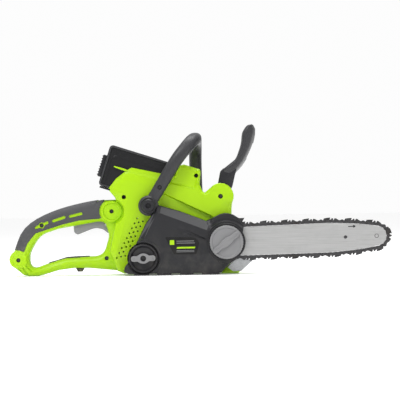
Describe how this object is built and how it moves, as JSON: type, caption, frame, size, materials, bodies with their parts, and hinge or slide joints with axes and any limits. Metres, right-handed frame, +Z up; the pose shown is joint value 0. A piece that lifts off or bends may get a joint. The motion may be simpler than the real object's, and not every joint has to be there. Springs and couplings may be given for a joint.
{
  "type": "battery chainsaw",
  "caption": "Battery chainsaw with a looped rear handle, bow-shaped front handle, swinging hand guard, slide-in battery, side cover and a guide bar with its saw chain.",
  "frame": {"origin": "on the ground under the middle of the saw's box", "axes": "+X forward along the guide bar, +Y to the operator's left, +Z up"},
  "size_m": [0.7026, 0.1831, 0.2735],
  "materials": {
    "lime_plastic": "moulded, fine satin grain",
    "grey_plastic": "moulded, satin",
    "dark_plastic": "moulded, satin",
    "black_plastic": "moulded, fine grain",
    "soft_grip": "soft overmould, matt",
    "pale_plastic": "moulded, satin",
    "label": "printed film, gloss",
    "rubber": "matt",
    "bar_steel": "brushed",
    "steel": "machined",
    "chain_steel": "dark oiled",
    "aluminium": "cast",
    "windings": "varnished copper",
    "circuit_board": "lacquered"
  },
  "bodies": {
    "saw_body": {"right_shell": "lime_plastic", "left_shell": "lime_plastic", "grip_right": "soft_grip", "grip_left": "soft_grip", "screw_upper_rear": "chain_steel", "screw_upper_front": "chain_steel", "screw_handle_root": "chain_steel", "screw_ring_pad": "chain_steel", "screw_grip": "chain_steel", "screw_end_pad": "chain_steel", "base_feet": "rubber", "lower_bar_stud": "rubber", "chain_cover": "dark_plastic", "label_plate": "label", "front_handle": "grey_plastic", "handle_bolt": "black_plastic", "handle_screw": "chain_steel", "guard_pin": "chain_steel", "brake_switch": "black_plastic", "trigger_pin": "steel", "trigger_switch": "black_plastic", "trigger_spring": "steel", "lock_off_spring": "steel", "battery_cradle": "black_plastic", "terminal_block": "windings", "bearing_outer": "steel", "bearing_inner": "steel", "gear_plate": "aluminium", "motor_can": "steel", "controller_board": "circuit_board", "controller_heat_sink": "aluminium", "wire_loom": "rubber", "bar_stud": "steel", "bar_pad": "aluminium", "spiked_bumper": "chain_steel", "chain_catcher": "pale_plastic", "oil_tank": "dark_plastic", "oil_pump": "black_plastic", "oil_hose": "rubber"},
    "guard": {"hand_guard": "grey_plastic"},
    "trigger": {"trigger": "pale_plastic"},
    "lock_button": {"lock_off_button": "black_plastic"},
    "battery": {"battery_pack": "black_plastic"},
    "latch": {"battery_latch": "dark_plastic"},
    "bar": {"guide_bar": "bar_steel", "saw_chain": "chain_steel", "nose_rivet": "chain_steel", "tension_pin": "steel"},
    "nose": {"nose_sprocket": "steel"},
    "knob": {"bar_knob": "pale_plastic"},
    "ring": {"tension_ring": "black_plastic"},
    "spindle": {"spindle": "steel", "drive_gear": "steel", "drive_sprocket": "steel", "sprocket_clip": "chain_steel"},
    "rotor": {"motor_rotor": "windings", "motor_pinion": "steel"},
    "oil_cap": {"oil_cap": "black_plastic", "oil_cap_wing": "pale_plastic"}
  },
  "joints": [
    {"name": "guard_swing", "type": "hinge", "parent": "saw_body", "child": "guard", "pos_m": [0.0398, 0, 0.142], "axis": [0, 1, 0], "range_deg": [0, 20]},
    {"name": "trigger_pull", "type": "hinge", "parent": "saw_body", "child": "trigger", "pos_m": [-0.173, 0, 0.093], "axis": [0, 1, 0], "range_deg": [0, 7], "stiffness_Nm_per_rad": 0.6, "springref_deg": -2.86, "deforming": ["trigger_spring"]},
    {"name": "lock_off_press", "type": "slide", "parent": "saw_body", "child": "lock_button", "axis": [0, -1, 0], "range_m": [0, 0.004], "stiffness_N_per_m": 300, "springref_m": -0.001, "deforming": ["lock_off_spring"]},
    {"name": "battery_slide", "type": "slide", "parent": "saw_body", "child": "battery", "axis": [-0.9511, 0, 0.309], "range_m": [0, 0.12]},
    {"name": "latch_press", "type": "slide", "parent": "battery", "child": "latch", "axis": [0.9511, 0, -0.309], "range_m": [0, 0.003], "stiffness_N_per_m": 400, "springref_m": -0.001},
    {"name": "tension_turn", "type": "hinge", "parent": "saw_body", "child": "ring", "pos_m": [0.04918, -0.052, 0.05849], "axis": [0, 1, 0], "range_deg": [0, 90]},
    {"name": "bar_slide", "type": "slide", "parent": "saw_body", "child": "bar", "axis": [0.9997, 0, 0.0251], "range_m": [0, 0.003]},
    {"name": "nose_spin", "type": "hinge", "parent": "bar", "child": "nose", "pos_m": [0.32429, -0.052, 0.0654], "axis": [0, 1, 0], "continuous": true},
    {"name": "knob_turn", "type": "hinge", "parent": "saw_body", "child": "knob", "pos_m": [0.04918, -0.052, 0.05849], "axis": [0, 1, 0], "continuous": true},
    {"name": "spindle_spin", "type": "hinge", "parent": "saw_body", "child": "spindle", "pos_m": [-0.01, -0.052, 0.057], "axis": [0, 1, 0], "continuous": true},
    {"name": "rotor_spin", "type": "hinge", "parent": "saw_body", "child": "rotor", "pos_m": [-0.04023, 0, 0.07978], "axis": [0, 1, 0], "continuous": true},
    {"name": "oil_cap_turn", "type": "hinge", "parent": "saw_body", "child": "oil_cap", "pos_m": [-0.1028, -0.062, 0.0309], "axis": [0, 1, 0], "continuous": true}
  ],
  "couplings": [
    {"joint": "tension_turn", "follows": "bar_slide", "rad_per_m": 523.5},
    {"joint": "rotor_spin", "follows": "spindle_spin", "ratio": -4},
    {"joint": "nose_spin", "follows": "spindle_spin", "ratio": 0.85714}
  ]
}
